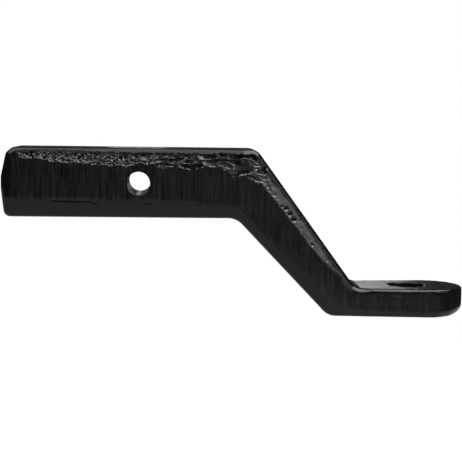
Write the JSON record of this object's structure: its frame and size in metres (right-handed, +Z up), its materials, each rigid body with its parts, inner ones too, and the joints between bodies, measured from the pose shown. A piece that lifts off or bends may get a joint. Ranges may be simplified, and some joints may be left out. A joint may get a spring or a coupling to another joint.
{
  "type": "ball mount",
  "caption": "Solid forged steel drop ball mount: a square receiver shank with a cross pin hole, a sloping web and a round-nosed platform with a hole for a tow ball, in gloss black.",
  "frame": {"origin": "centre of the pin hole, on the middle plane of the shank", "axes": "+X along the shank towards the ball platform, +Y along the pin hole, +Z up towards the ball"},
  "size_m": [0.3442, 0.0572, 0.1228],
  "materials": {
    "gloss_black_coating": "gloss black coating over a forged surface"
  },
  "bodies": {
    "root": {"ball_mount_forging": "gloss_black_coating"}
  },
  "joints": []
}
